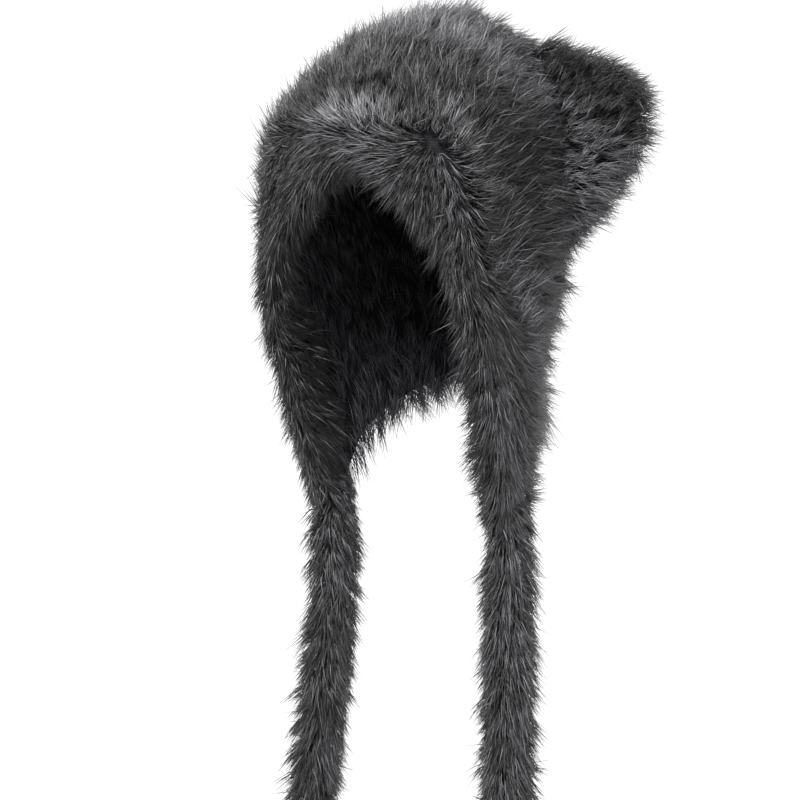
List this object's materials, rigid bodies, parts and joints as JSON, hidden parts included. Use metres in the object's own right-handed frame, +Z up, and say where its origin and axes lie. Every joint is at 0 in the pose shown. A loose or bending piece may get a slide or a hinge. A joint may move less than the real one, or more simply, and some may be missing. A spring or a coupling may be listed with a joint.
{
  "type": "animal ear fur hood",
  "caption": "Long-pile furry hood with two pulled-out ear corners, a padded band round the face opening, side flaps and long furry ties hanging from them.",
  "frame": {"origin": "the inside of the crown's top, in the middle, where the wearer's head carries the hood", "axes": "+Z up, the face opening looks along -Y, the wearer's left is +X"},
  "size_m": [0.3092, 0.2272, 0.6362],
  "materials": {
    "pile": "long acrylic pile, charcoal",
    "knit_ground": "knitted ground with short dark pile, matt"
  },
  "bodies": {
    "root": {"hood_shell": "knit_ground", "hood_fur": "pile", "face_band": "pile", "tie_left": "pile", "tie_right": "pile"}
  },
  "joints": []
}
